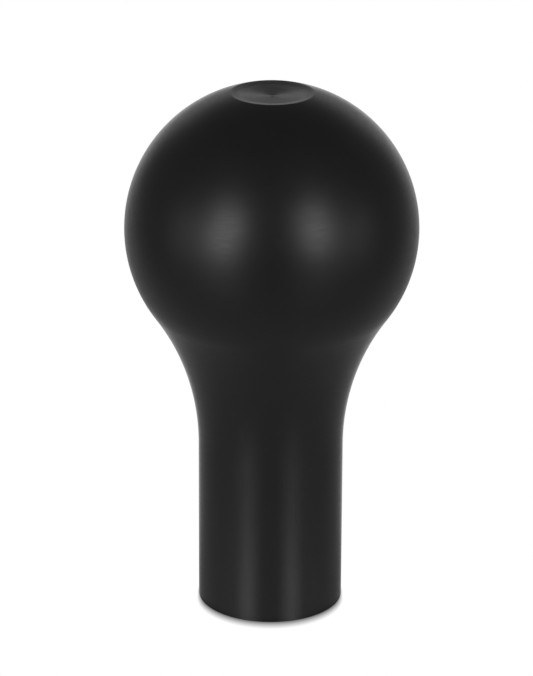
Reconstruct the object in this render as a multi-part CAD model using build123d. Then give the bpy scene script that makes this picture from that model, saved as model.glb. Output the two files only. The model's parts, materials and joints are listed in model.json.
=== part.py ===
from build123d import *

import os
from math import radians, sqrt, tan

# A gear shift knob: a ball on a flared neck, turned in one piece from a bar of black acetal.
# The origin is the middle of the foot, +Z runs up the turning axis, and sizes are in millimetres.

# Driving dimensions of the outside
BALL_DIAMETER = 50.8
NECK_DIAMETER = 25.4
NECK_LENGTH = 29.2  # straight part of the neck, from the foot up to the start of the flare
FLARE_RADIUS = 43.3  # hollow sweep that carries the neck into the ball
FOOT_CHAMFER = 0.1  # broken edge round the foot

# Driving dimensions of the dish in the crown of the ball, a flat cone inside a steeper border
DISH_DIAMETER = 14.3  # across the sharp corner, before the lip is rounded
DISH_DEPTH = 0.65  # from that corner down to the middle of the floor
DISH_FLOOR_SLOPE = 4.5  # degrees
DISH_BORDER_WIDTH = 1.5
LIP_ROUND = 0.5

# Driving dimensions of the blind hole for the shift lever, at the tap drill's size
TAP_DRILL_DIAMETER = 8.5  # for an M10 x 1.5 thread
HOLE_DEPTH = 35.0  # to the end of the full diameter
DRILL_POINT_ANGLE = 118.0  # degrees
MOUTH_CHAMFER = 1.0  # 45 degree lead-in for the lever's thread

# Places on the half section, each a radius and a height
BALL_RADIUS = BALL_DIAMETER / 2
NECK_RADIUS = NECK_DIAMETER / 2
DISH_RADIUS = DISH_DIAMETER / 2
HOLE_RADIUS = TAP_DRILL_DIAMETER / 2

# The flare's centre stands level with the top of the straight neck. Ball and flare touch
# from opposite sides of the outline, so their centres lie the sum of both radii apart.
FLARE_CENTRE_RADIUS = NECK_RADIUS + FLARE_RADIUS
CENTRE_DISTANCE = BALL_RADIUS + FLARE_RADIUS
BALL_RISE = sqrt(CENTRE_DISTANCE**2 - FLARE_CENTRE_RADIUS**2)
BALL_CENTRE_HEIGHT = NECK_LENGTH + BALL_RISE
BALL_SHARE = BALL_RADIUS / CENTRE_DISTANCE

BALL_EQUATOR = (BALL_RADIUS, BALL_CENTRE_HEIGHT)
BALL_MEETS_FLARE = (FLARE_CENTRE_RADIUS * BALL_SHARE, BALL_CENTRE_HEIGHT - BALL_RISE * BALL_SHARE)
FLARE_MEETS_NECK = (NECK_RADIUS, NECK_LENGTH)
FOOT_CORNER = (NECK_RADIUS, 0)

LIP_HEIGHT = BALL_CENTRE_HEIGHT + sqrt(BALL_RADIUS**2 - DISH_RADIUS**2)
LIP_CORNER = (DISH_RADIUS, LIP_HEIGHT)
DISH_MIDDLE_HEIGHT = LIP_HEIGHT - DISH_DEPTH
DISH_MIDDLE = (0, DISH_MIDDLE_HEIGHT)
DISH_FLOOR_RADIUS = DISH_RADIUS - DISH_BORDER_WIDTH
DISH_FLOOR_RISE = DISH_FLOOR_RADIUS * tan(radians(DISH_FLOOR_SLOPE))
DISH_FLOOR_EDGE = (DISH_FLOOR_RADIUS, DISH_MIDDLE_HEIGHT + DISH_FLOOR_RISE)

DRILL_POINT_LENGTH = HOLE_RADIUS / tan(radians(DRILL_POINT_ANGLE / 2))
HOLE_MOUTH = (HOLE_RADIUS + MOUTH_CHAMFER, 0)
HOLE_WALL_BOTTOM = (HOLE_RADIUS, MOUTH_CHAMFER)
HOLE_WALL_TOP = (HOLE_RADIUS, HOLE_DEPTH)
DRILL_POINT_TIP = (0, HOLE_DEPTH + DRILL_POINT_LENGTH)


def knob_half_section():
    """Half of the knob's section. From the lip down to the foot each curve is tangent to the next."""
    with BuildSketch(Plane.XZ) as section:
        with BuildLine():
            ThreePointArc(LIP_CORNER, BALL_EQUATOR, BALL_MEETS_FLARE)
            TangentArc(FLARE_MEETS_NECK, BALL_MEETS_FLARE, tangent=(0, 1))
            Polyline(
                FLARE_MEETS_NECK,
                FOOT_CORNER,
                HOLE_MOUTH,
                HOLE_WALL_BOTTOM,
                HOLE_WALL_TOP,
                DRILL_POINT_TIP,
                DISH_MIDDLE,
                DISH_FLOOR_EDGE,
                LIP_CORNER,
            )
        make_face()
        fillet(section.vertices().sort_by_distance(LIP_CORNER)[0], radius=LIP_ROUND)
        chamfer(section.vertices().sort_by_distance(FOOT_CORNER)[0], length=FOOT_CHAMFER)
    return section.sketch


def shift_knob():
    """The whole knob, its half section carried once round the turning axis."""
    return revolve(knob_half_section(), axis=Axis.Z)


os.makedirs("parts", exist_ok=True)
export_step(shift_knob(), "parts/shift_knob.step")
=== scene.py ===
import json
import math

import bpy
import numpy as np
from mathutils import Matrix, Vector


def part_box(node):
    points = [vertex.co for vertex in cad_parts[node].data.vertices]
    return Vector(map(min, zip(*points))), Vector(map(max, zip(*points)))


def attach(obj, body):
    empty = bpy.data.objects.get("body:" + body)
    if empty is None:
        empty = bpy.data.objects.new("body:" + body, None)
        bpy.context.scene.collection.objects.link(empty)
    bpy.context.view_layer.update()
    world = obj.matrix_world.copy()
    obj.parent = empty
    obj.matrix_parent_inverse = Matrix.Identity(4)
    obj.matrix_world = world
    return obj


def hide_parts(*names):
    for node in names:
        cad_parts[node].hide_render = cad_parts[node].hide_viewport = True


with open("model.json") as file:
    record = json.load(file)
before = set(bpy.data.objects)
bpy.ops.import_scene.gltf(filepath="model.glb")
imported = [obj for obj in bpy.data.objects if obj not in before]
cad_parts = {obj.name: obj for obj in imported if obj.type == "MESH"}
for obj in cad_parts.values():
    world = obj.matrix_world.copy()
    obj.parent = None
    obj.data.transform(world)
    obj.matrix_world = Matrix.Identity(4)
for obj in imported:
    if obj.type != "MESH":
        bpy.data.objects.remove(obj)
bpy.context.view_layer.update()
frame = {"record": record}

# The knob: one piece turned from a bar of black acetal, its ball, flare, neck and foot cut in one
# sweep of the tool. A shallow dish is faced into the crown, and the foot is drilled, chamfered and
# tapped for the shift lever, which screws straight into the plastic.
MM = 0.001
NECK_RADIUS = 12.7 * MM
NECK_LENGTH = 29.2 * MM
FLARE_RADIUS = 43.3 * MM
FOOT_CHAMFER = 0.1 * MM
DISH_RADIUS = 7.15 * MM
DISH_DEPTH = 0.65 * MM
DISH_FLOOR_RADIUS = 5.65 * MM
DISH_FLOOR_SLOPE = math.radians(4.5)
LIP_ROUND = 0.5 * MM
PIP_RADIUS = 0.4 * MM
PIP_HEIGHT = 0.06 * MM
MOUTH_CHAMFER = 1.0 * MM
DRILL_POINT_ANGLE = 118.0
THREAD_PITCH = 1.5 * MM
THREAD_RADIUS = 5.0 * MM
THREAD_FULL_TO = 27.0 * MM
THREAD_GONE_AT = 31.0 * MM
FOOT_FACE_ROWS = 6
COLUMNS = 144
SHARP_FROM = math.radians(28)

lever_thread = next(m for m in frame["record"]["mounts"] if m["name"] == "lever_thread")
HOLE_RADIUS = lever_thread["dims"]["r_mm"] * MM
HOLE_DEPTH = MOUTH_CHAMFER + lever_thread["dims"]["length_mm"] * MM

lowest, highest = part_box("shift_knob")
BALL_RADIUS = round((highest.x - lowest.x) / 2, 4)
ball_rise = math.sqrt((BALL_RADIUS + FLARE_RADIUS) ** 2 - (NECK_RADIUS + FLARE_RADIUS) ** 2)
BALL_CENTRE = np.array([0.0, NECK_LENGTH + ball_rise])
FLARE_CENTRE = np.array([NECK_RADIUS + FLARE_RADIUS, NECK_LENGTH])
FLARE_SWEEP = math.degrees(math.atan2(ball_rise, FLARE_CENTRE[0]))
LIP_CORNER = np.array([DISH_RADIUS, BALL_CENTRE[1] + math.sqrt(BALL_RADIUS**2 - DISH_RADIUS**2)])
DISH_MIDDLE = LIP_CORNER - [DISH_RADIUS, DISH_DEPTH]
DISH_FLOOR_EDGE = DISH_MIDDLE + DISH_FLOOR_RADIUS * np.array([1, math.tan(DISH_FLOOR_SLOPE)])


def along(start, end, rows):
    """Points of the half section spaced evenly on the straight line from start to end."""
    share = np.linspace(0, 1, rows + 1)[:, None]
    return (1 - share) * np.asarray(start) + share * np.asarray(end)


def round_arc(centre, radius, first, last, rows):
    """Points of the half section on a circle: the centre plus the radius times the cosine and
    sine of an angle that runs evenly from first to last, in degrees from straight out."""
    angle = np.radians(np.linspace(first, last, rows + 1))
    return np.asarray(centre) + radius * np.stack([np.cos(angle), np.sin(angle)], 1)


def bearing(start, end):
    """Angle of the way from start to end, in degrees from straight out."""
    return math.degrees(math.atan2(end[1] - start[1], end[0] - start[0]))


def lip_centre():
    """Centre of the round that touches the ball from inside and the dish's border from below. It
    lies on the border's line moved down by the round, at the ball's radius less the round."""
    line = (LIP_CORNER - DISH_FLOOR_EDGE) / np.hypot(*(LIP_CORNER - DISH_FLOOR_EDGE))
    start = LIP_CORNER + LIP_ROUND * np.array([line[1], -line[0]])
    from_ball = start - BALL_CENTRE
    half = from_ball @ line
    reach = half**2 - from_ball @ from_ball + (BALL_RADIUS - LIP_ROUND) ** 2
    return start + line * (math.sqrt(reach) - half)


def outside_section():
    """Half section from the middle of the dish out over the lip and down to the foot's edge. The
    tool leaves a pip at the middle of the dish, raised by half a cosine wave."""
    lip = lip_centre()
    lip_first = 90 + bearing(DISH_FLOOR_EDGE, LIP_CORNER)
    ball_first = bearing(BALL_CENTRE, lip)
    lip_round = round_arc(lip, LIP_ROUND, lip_first, ball_first, rows=8)
    pip_edge = DISH_MIDDLE + PIP_RADIUS * np.array([1, math.tan(DISH_FLOOR_SLOPE)])
    pip = along(DISH_MIDDLE, pip_edge, rows=12)
    pip[:, 1] += PIP_HEIGHT * (0.5 + 0.5 * np.cos(np.pi * pip[:, 0] / PIP_RADIUS))
    parts = [
        pip,
        along(pip_edge, DISH_FLOOR_EDGE, rows=36)[1:],
        along(DISH_FLOOR_EDGE, lip_round[0], rows=12)[1:],
        lip_round[1:],
        round_arc(BALL_CENTRE, BALL_RADIUS, ball_first, -FLARE_SWEEP, rows=110)[1:],
        round_arc(FLARE_CENTRE, FLARE_RADIUS, 180 - FLARE_SWEEP, 180, rows=50)[1:],
        along([NECK_RADIUS, NECK_LENGTH], [NECK_RADIUS, FOOT_CHAMFER], rows=30)[1:],
        along([NECK_RADIUS, FOOT_CHAMFER], [NECK_RADIUS - FOOT_CHAMFER, 0], rows=2)[1:],
    ]
    return np.concatenate(parts)


def hole_section():
    """Half section from the foot's face up the hole's mouth and wall to the drill's point."""
    tip = HOLE_DEPTH + HOLE_RADIUS / math.tan(math.radians(DRILL_POINT_ANGLE / 2))
    mouth = [HOLE_RADIUS + MOUTH_CHAMFER, 0]
    parts = [
        along([NECK_RADIUS - FOOT_CHAMFER, 0], mouth, rows=FOOT_FACE_ROWS)[1:],
        along(mouth, [HOLE_RADIUS, MOUTH_CHAMFER], rows=10)[1:],
        along([HOLE_RADIUS, MOUTH_CHAMFER], [HOLE_RADIUS, HOLE_DEPTH], rows=272)[1:],
        along([HOLE_RADIUS, HOLE_DEPTH], [0, tip], rows=6)[1:],
    ]
    return np.concatenate(parts)


def thread_radius(height, turn):
    """Radius of the tapped wall: a 60 degree groove, flat at its root for an eighth of a pitch, that
    climbs one pitch a turn. The distance along the axis from that flat, times the root of three, is
    taken off the thread's full radius, and the cut runs out where the tap's tapered end stopped."""
    from_middle = np.abs((height / THREAD_PITCH - turn) % 1 - 0.5) * THREAD_PITCH
    flank = THREAD_RADIUS - math.sqrt(3) * np.maximum(from_middle - THREAD_PITCH / 16, 0)
    run_out = np.clip((height - THREAD_FULL_TO) / (THREAD_GONE_AT - THREAD_FULL_TO), 0, 1)
    return flank - run_out * (THREAD_RADIUS - HOLE_RADIUS)


def turned_knob():
    """The section carried round the axis on a grid of rows and columns, each point at the row's
    radius and height and the column's turn. In the hole the radius is the larger of the drilled
    wall's and the thread's. Each end of the section is one point on the axis. The UV map holds
    the travel along the section in metres and the share of a turn."""
    outside, hole = outside_section(), hole_section()
    section = np.concatenate([outside, hole])
    turn = np.arange(COLUMNS) / COLUMNS
    height = np.repeat(section[1:-1, 1:], COLUMNS, 1)
    radius = np.repeat(section[1:-1, :1], COLUMNS, 1)
    first_in_hole = len(outside) + FOOT_FACE_ROWS - 1
    wall = (np.arange(len(radius)) >= first_in_hole)[:, None] & (height <= HOLE_DEPTH)
    radius = np.where(wall, np.maximum(radius, thread_radius(height, turn)), radius)
    angle = 2 * np.pi * turn
    grid = np.stack([radius * np.cos(angle), radius * np.sin(angle), height], 2).reshape(-1, 3)
    crown, tip = [0, 0, section[0, 1]], [0, 0, section[-1, 1]]
    places = np.concatenate([grid, [crown, tip]])

    rows = len(section) - 2
    row, column = np.meshgrid(np.arange(rows - 1), np.arange(COLUMNS), indexing="ij")
    after = (column + 1) % COLUMNS
    quads = np.stack([row * COLUMNS + column, (row + 1) * COLUMNS + column,
                      (row + 1) * COLUMNS + after, row * COLUMNS + after], 2).reshape(-1, 4)
    here = np.arange(COLUMNS)
    there = (here + 1) % COLUMNS
    last = (rows - 1) * COLUMNS
    crown_fan = np.stack([np.full(COLUMNS, len(grid)), here, there], 1)
    tip_fan = np.stack([np.full(COLUMNS, len(grid) + 1), last + there, last + here], 1)
    faces = quads.tolist() + crown_fan.tolist() + tip_fan.tolist()

    step = np.linalg.norm(np.diff(section, axis=0), axis=1)
    travel = np.concatenate([[0], np.cumsum(step)])
    quad_uv = np.stack([
        np.stack([travel[row + 1], travel[row + 2], travel[row + 2], travel[row + 1]], 2),
        np.stack([column, column, column + 1, column + 1], 2) / COLUMNS,
    ], 3).reshape(-1, 2)
    crown_uv = np.stack([
        np.repeat([travel[[0, 1, 1]]], COLUMNS, 0),
        np.stack([here + 0.5, here, here + 1], 1) / COLUMNS,
    ], 2).reshape(-1, 2)
    tip_uv = np.stack([
        np.repeat([travel[[-1, -2, -2]]], COLUMNS, 0),
        np.stack([here + 0.5, here + 1, here], 1) / COLUMNS,
    ], 2).reshape(-1, 2)
    return places, faces, np.concatenate([quad_uv, crown_uv, tip_uv])


def linear(hex_colour):
    """An sRGB hex colour as the linear RGBA that shaders take."""
    channels = np.array([int(hex_colour[i:i + 2], 16) for i in (1, 3, 5)]) / 255
    low, high = channels / 12.92, ((channels + 0.055) / 1.055) ** 2.4
    return (*np.where(channels <= 0.04045, low, high).tolist(), 1.0)


def add_node(tree, kind, inputs=None, **settings):
    """Adds a node with these settings. Each of its inputs, by name or number, is linked to the
    given output or set to the given value."""
    node = tree.nodes.new(kind)
    for name, value in settings.items():
        setattr(node, name, value)
    for key, source in (inputs or {}).items():
        if isinstance(source, bpy.types.NodeSocket):
            tree.links.new(source, node.inputs[key])
        else:
            node.inputs[key].default_value = source
    return node


def turned_black_acetal():
    """Black acetal straight from the lathe: a deep neutral black with a satin sheen, glossier
    where it is seen edge on. The tool's feed leaves faint rings round the axis, which break up
    here and there, so the sheen shifts from ring to ring and highlights are drawn out across
    them, most of all in the faced dish. The black itself is a little uneven."""
    material = bpy.data.materials.new("turned_black_acetal")
    material.use_nodes = True
    tree = material.node_tree
    shader = tree.nodes["Principled BSDF"]
    acetal_ior = 1.48
    shader.inputs["IOR"].default_value = acetal_ior

    # The real feed, about 0.15 mm a turn, is finer than a pixel, so the rings are drawn coarser.
    ring_pitch = 0.25 * MM
    ring_streak = 2.5 * MM
    ring_depth = 0.003 * MM
    smoothest, roughest = 0.37, 0.43
    edge_on_from, edge_on_share = 0.75, 0.57
    dish_stretch, turned_stretch = 0.62, 0.2
    place = add_node(tree, "ShaderNodeTexCoord")
    turning = add_node(tree, "ShaderNodeUVMap", uv_map="turning")
    travel = add_node(tree, "ShaderNodeSeparateXYZ", {0: turning.outputs["UV"]})
    feed = add_node(tree, "ShaderNodeMath", {0: travel.outputs["X"], 1: ring_pitch}, operation="DIVIDE")
    ring = add_node(tree, "ShaderNodeCombineXYZ", {"Z": feed.outputs[0]})
    way_round = (1 / ring_streak, 1 / ring_streak, 0)
    streak = add_node(tree, "ShaderNodeVectorMath", {0: place.outputs["Object"], 1: way_round,
                                                     2: ring.outputs[0]}, operation="MULTIPLY_ADD")
    rings = add_node(tree, "ShaderNodeTexNoise", {"Vector": streak.outputs[0], "Scale": 1.0,
                                                  "Detail": 2.0})
    ridges = add_node(tree, "ShaderNodeBump", {"Height": rings.outputs["Fac"], "Distance": ring_depth})
    sheen = add_node(tree, "ShaderNodeMapRange", {"Value": rings.outputs["Fac"], "From Min": 0.3,
                                                  "From Max": 0.7, "To Min": smoothest,
                                                  "To Max": roughest})
    edge_on = add_node(tree, "ShaderNodeLayerWeight", {"Blend": 0.5})
    glance = add_node(tree, "ShaderNodeMapRange", {"Value": edge_on.outputs["Facing"],
                                                   "From Min": edge_on_from, "From Max": 1.0,
                                                   "To Min": 1.0, "To Max": edge_on_share})
    gloss = add_node(tree, "ShaderNodeMath", {0: sheen.outputs["Result"], 1: glance.outputs["Result"]},
                     operation="MULTIPLY")
    stretch = add_node(tree, "ShaderNodeMapRange", {"Value": travel.outputs["X"],
                                                    "From Min": DISH_FLOOR_RADIUS,
                                                    "From Max": DISH_FLOOR_RADIUS + LIP_ROUND,
                                                    "To Min": dish_stretch, "To Max": turned_stretch})
    across = add_node(tree, "ShaderNodeTangent", direction_type="UV_MAP", uv_map="turning")

    cloud_size = 9.0 * MM
    clouds = add_node(tree, "ShaderNodeTexNoise", {"Vector": place.outputs["Object"], "Detail": 3.0,
                                                   "Scale": 1 / cloud_size})
    black = add_node(tree, "ShaderNodeMix", {"Factor": clouds.outputs["Fac"], "A": linear("#19191B"),
                                             "B": linear("#1D1D1F")}, data_type="RGBA")
    tree.links.new(black.outputs["Result"], shader.inputs["Base Color"])
    tree.links.new(gloss.outputs[0], shader.inputs["Roughness"])
    tree.links.new(stretch.outputs["Result"], shader.inputs["Anisotropic"])
    tree.links.new(across.outputs["Tangent"], shader.inputs["Tangent"])
    tree.links.new(ridges.outputs["Normal"], shader.inputs["Normal"])
    return material


places, faces, turning_uv = turned_knob()
mesh = bpy.data.meshes.new("turned_knob")
mesh.from_pydata(places, [], faces)
mesh.uv_layers.new(name="turning").uv.foreach_set("vector", turning_uv.astype(np.float32).ravel())
mesh.shade_smooth()
mesh.set_sharp_from_angle(angle=SHARP_FROM)
mesh.materials.append(turned_black_acetal())
knob = bpy.data.objects.new("turned_knob", mesh)
bpy.context.collection.objects.link(knob)
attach(knob, "root")
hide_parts("shift_knob")

# The stage: a plain pale floor that the knob stands on, white to the eye, its front edge below the
# picture, in a dim grey room that is darkest behind the camera. Two bright softboxes stand in
# front, left and right, a dim one at each side, and a wide one behind.
FLOOR_SIZE = 6.0
FLOOR_FRONT = 0.25
FLOOR_DROP = 0.02 * MM
FLOOR_ROUGHNESS = 0.45
POLISH_SHARE = 0.5
POLISH_ROUGHNESS = 0.12
POLISH_FULL_TO = 30.0 * MM
POLISH_GONE_AT = 75.0 * MM
# The painted shadow in front of the foot: its length and darkest level, straight to the front and to
# the side.
SHADOW_LENGTH = 2.6 * MM
SHADOW_LENGTH_ASIDE = SHADOW_LENGTH / 8
SHADOW_LEVEL = 0.2
SHADOW_LEVEL_ASIDE = 0.6
# Where glossy rays meet the floor's white, a painted glow: the strip, its growth towards the back and
# the round gleam behind the knob.
STRIP_FULL_TO = 50.0 * MM
STRIP_EDGE_AT = 190.0 * MM
STRIP_EDGE_SHARE = 0.2
STRIP_SPREAD = 0.55
WHITE_FROM = -170.0 * MM
WHITE_FULL_AT = 420.0 * MM
WHITE_SHARE = 0.75
GLEAM_CENTRE = (0, 73.0 * MM, 0)
GLEAM_FULL_TO = 35.0 * MM
GLEAM_GONE_AT = 75.0 * MM
GLEAM_SHARE = 0.9


def pale_floor():
    """White to the camera, but for a painted shadow: the foot's short soft shade, which falls to the
    front and dies away round the sides. Other rays meet the lamp-lit surface, polished round the foot.
    Glossy ones meet a share of the white as well, a glow painted on the floor that shows in the knob's
    reflections, in a strip that widens towards the back. The share grows that way too, and is largest
    in a round gleam just behind the knob."""
    material = bpy.data.materials.new("pale_floor")
    material.use_nodes = True
    tree = material.node_tree
    shader = tree.nodes["Principled BSDF"]
    shader.inputs["Base Color"].default_value = linear("#8C8C8C")
    shader.inputs["Roughness"].default_value = FLOOR_ROUGHNESS
    place = add_node(tree, "ShaderNodeTexCoord")
    spot = add_node(tree, "ShaderNodeSeparateXYZ", {0: place.outputs["Object"]})
    reach = add_node(tree, "ShaderNodeVectorMath", {0: place.outputs["Object"]}, operation="LENGTH")
    polish = add_node(tree, "ShaderNodeMapRange", {"Value": reach.outputs["Value"],
                                                   "From Min": POLISH_FULL_TO,
                                                   "From Max": POLISH_GONE_AT,
                                                   "To Min": POLISH_SHARE, "To Max": 0.0})
    mirror = add_node(tree, "ShaderNodeBsdfGlossy", {"Roughness": POLISH_ROUGHNESS})
    lit = add_node(tree, "ShaderNodeMixShader", {0: polish.outputs["Result"], 1: shader.outputs[0],
                                                 2: mirror.outputs[0]})

    # The painted shadow grows lighter with the gap from the foot's edge; it is worked out from the
    # place on the floor, not cast. Its way from the foot counts from -1, straight to the front, over 0,
    # straight to the side, to 1, straight to the back.
    gap = add_node(tree, "ShaderNodeMath", {0: reach.outputs["Value"], 1: NECK_RADIUS},
                   operation="SUBTRACT")
    behind = add_node(tree, "ShaderNodeMath", {0: spot.outputs["Y"], 1: reach.outputs["Value"]},
                      operation="DIVIDE")
    length = add_node(tree, "ShaderNodeMapRange", {"Value": behind.outputs[0], "From Min": -1.0,
                                                   "From Max": -0.1, "To Min": SHADOW_LENGTH,
                                                   "To Max": SHADOW_LENGTH_ASIDE})
    darkest = add_node(tree, "ShaderNodeMapRange", {"Value": behind.outputs[0], "From Min": -0.4,
                                                    "From Max": 0.0, "To Min": SHADOW_LEVEL,
                                                    "To Max": SHADOW_LEVEL_ASIDE})
    shadow = add_node(tree, "ShaderNodeMapRange", {"Value": gap.outputs[0], "From Min": 0.0,
                                                   "From Max": length.outputs["Result"],
                                                   "To Min": darkest.outputs["Result"],
                                                   "To Max": 1.0})
    white = add_node(tree, "ShaderNodeEmission", {"Strength": shadow.outputs["Result"]})

    # The share of the white that glossy rays meet: painted light on the floor, seen only in the knob's
    # reflections.
    half = add_node(tree, "ShaderNodeMath", {0: spot.outputs["X"]}, operation="ABSOLUTE")
    aside = add_node(tree, "ShaderNodeMath", {0: spot.outputs["Y"], 1: -STRIP_SPREAD,
                                              2: half.outputs[0]}, operation="MULTIPLY_ADD")
    strip = add_node(tree, "ShaderNodeMapRange", {"Value": aside.outputs[0],
                                                  "From Min": STRIP_FULL_TO,
                                                  "From Max": STRIP_EDGE_AT,
                                                  "To Min": 1.0, "To Max": STRIP_EDGE_SHARE})
    depth = add_node(tree, "ShaderNodeMapRange", {"Value": spot.outputs["Y"],
                                                  "From Min": WHITE_FROM,
                                                  "From Max": WHITE_FULL_AT,
                                                  "To Min": 0.0, "To Max": WHITE_SHARE})
    wide = add_node(tree, "ShaderNodeMath", {0: strip.outputs["Result"], 1: depth.outputs["Result"]},
                    operation="MULTIPLY")
    apart = add_node(tree, "ShaderNodeVectorMath", {0: place.outputs["Object"], 1: GLEAM_CENTRE},
                     operation="DISTANCE")
    gleam = add_node(tree, "ShaderNodeMapRange", {"Value": apart.outputs["Value"],
                                                  "From Min": GLEAM_FULL_TO,
                                                  "From Max": GLEAM_GONE_AT,
                                                  "To Min": GLEAM_SHARE, "To Max": 0.0})
    share = add_node(tree, "ShaderNodeMath", {0: wide.outputs[0], 1: gleam.outputs["Result"]},
                     operation="MAXIMUM")
    ray = add_node(tree, "ShaderNodeLightPath")
    glossy = add_node(tree, "ShaderNodeMath", {0: ray.outputs["Is Glossy Ray"],
                                               1: share.outputs[0]}, operation="MULTIPLY")
    clear = add_node(tree, "ShaderNodeMath", {0: ray.outputs["Is Camera Ray"],
                                              1: ray.outputs["Is Transmission Ray"]}, operation="ADD")
    seen = add_node(tree, "ShaderNodeMath", {0: clear.outputs[0], 1: glossy.outputs[0]},
                    operation="ADD")
    surface = add_node(tree, "ShaderNodeMixShader", {0: seen.outputs[0], 1: lit.outputs[0],
                                                     2: white.outputs[0]})
    tree.links.new(surface.outputs[0], tree.nodes["Material Output"].inputs["Surface"])
    return material


edge = FLOOR_SIZE / 2
corners = [(-edge, -FLOOR_FRONT), (edge, -FLOOR_FRONT), (edge, edge), (-edge, edge)]
floor_mesh = bpy.data.meshes.new("floor")
floor_mesh.from_pydata([(x, y, -FLOOR_DROP) for x, y in corners], [], [(0, 1, 2, 3)])
floor_mesh.materials.append(pale_floor())
floor = bpy.data.objects.new("floor", floor_mesh)
bpy.context.collection.objects.link(floor)

# Azimuth from straight in front, elevation from the ball's centre and lean to the side, in
# degrees, then distance, width and height in metres, and radiance. A lamp's power is its radiance
# times pi times its area.
SOFTBOXES = {
    "left_softbox": (-36.3, 12.3, -12, 0.60, 0.21, 0.35, 5.1),
    "right_softbox": (34.3, 14.9, 6, 0.60, 0.20, 0.32, 5.0),
    "left_side_softbox": (-67, 5, 0, 0.60, 0.32, 0.24, 0.65),
    "right_side_softbox": (67, 5, 0, 0.60, 0.32, 0.24, 0.65),
    "back_softbox": (178.5, 11.3, 0, 0.80, 1.04, 0.45, 0.54),
}

for name, (azimuth, elevation, lean, distance, width, height, radiance) in SOFTBOXES.items():
    lamp = bpy.data.lights.new(name, "AREA")
    lamp.shape = "RECTANGLE"
    lamp.size = width
    lamp.size_y = height
    lamp.energy = radiance * math.pi * width * height
    softbox = bpy.data.objects.new(name, lamp)
    bpy.context.collection.objects.link(softbox)
    turn = math.radians(azimuth)
    rise = math.radians(elevation)
    out = distance * math.cos(rise)
    softbox.location = (out * math.sin(turn), -out * math.cos(turn),
                        BALL_CENTRE[1] + distance * math.sin(rise))
    aim = Matrix.Rotation(turn, 3, "Z") @ Matrix.Rotation(math.pi / 2 - rise, 3, "X")
    softbox.rotation_euler = (aim @ Matrix.Rotation(math.radians(lean), 3, "Z")).to_euler()
    softbox.visible_camera = False

# The room is white to the camera too. To other rays it is dark behind the camera and dim elsewhere,
# and its walls are lighter than its ceiling.
ROOM_LIGHT = 0.12
ROOM_DARK_TO = -0.9
ROOM_LIT_FROM = -0.5
WALL_LEVEL = 1.25
CEILING_FALL = 0.5

world = bpy.data.worlds.new("dim_room")
bpy.context.scene.world = world
world.use_nodes = True
room = world.node_tree
room.nodes["Background"].inputs["Color"].default_value = (1, 1, 1, 1)
look = add_node(room, "ShaderNodeTexCoord")
way = add_node(room, "ShaderNodeSeparateXYZ", {0: look.outputs["Generated"]})
light = add_node(room, "ShaderNodeMapRange", {"Value": way.outputs["Y"], "From Min": ROOM_DARK_TO,
                                              "From Max": ROOM_LIT_FROM, "To Min": 0.0,
                                              "To Max": ROOM_LIGHT})
walls = add_node(room, "ShaderNodeMath", {0: way.outputs["Z"], 1: -CEILING_FALL, 2: WALL_LEVEL},
                 operation="MULTIPLY_ADD")
dim = add_node(room, "ShaderNodeMath", {0: light.outputs["Result"], 1: walls.outputs[0]},
               operation="MULTIPLY")
ray = add_node(room, "ShaderNodeLightPath")
strength = add_node(room, "ShaderNodeMath", {0: dim.outputs[0], 1: ray.outputs["Is Camera Ray"]},
                    operation="MAXIMUM")
room.links.new(strength.outputs[0], room.nodes["Background"].inputs["Strength"])

# The camera: a long lens a little over half a metre off, looking down on the knob.
CAMERA_BACK = 571.49 * MM
CAMERA_HEIGHT = 269.74 * MM
CAMERA_PITCH = 21.146
CAMERA_ROLL = 0.281
FOCAL_PIXELS = 3517.6
AXIS_PIXEL = 271.22
PICTURE_WIDTH, PICTURE_HEIGHT = 533, 676

lens = bpy.data.cameras.new("camera")
lens.sensor_width = 36.0
lens.lens = FOCAL_PIXELS / PICTURE_HEIGHT * lens.sensor_width
lens.shift_x = (PICTURE_WIDTH / 2 - AXIS_PIXEL) / PICTURE_HEIGHT
lens.clip_start = 0.01
camera = bpy.data.objects.new("camera", lens)
bpy.context.collection.objects.link(camera)
camera.location = (0, -CAMERA_BACK, CAMERA_HEIGHT)
camera.rotation_mode = "ZXY"
camera.rotation_euler = (math.radians(90 - CAMERA_PITCH), 0, math.radians(CAMERA_ROLL))
bpy.context.scene.camera = camera
bpy.context.scene.view_settings.view_transform = "Standard"
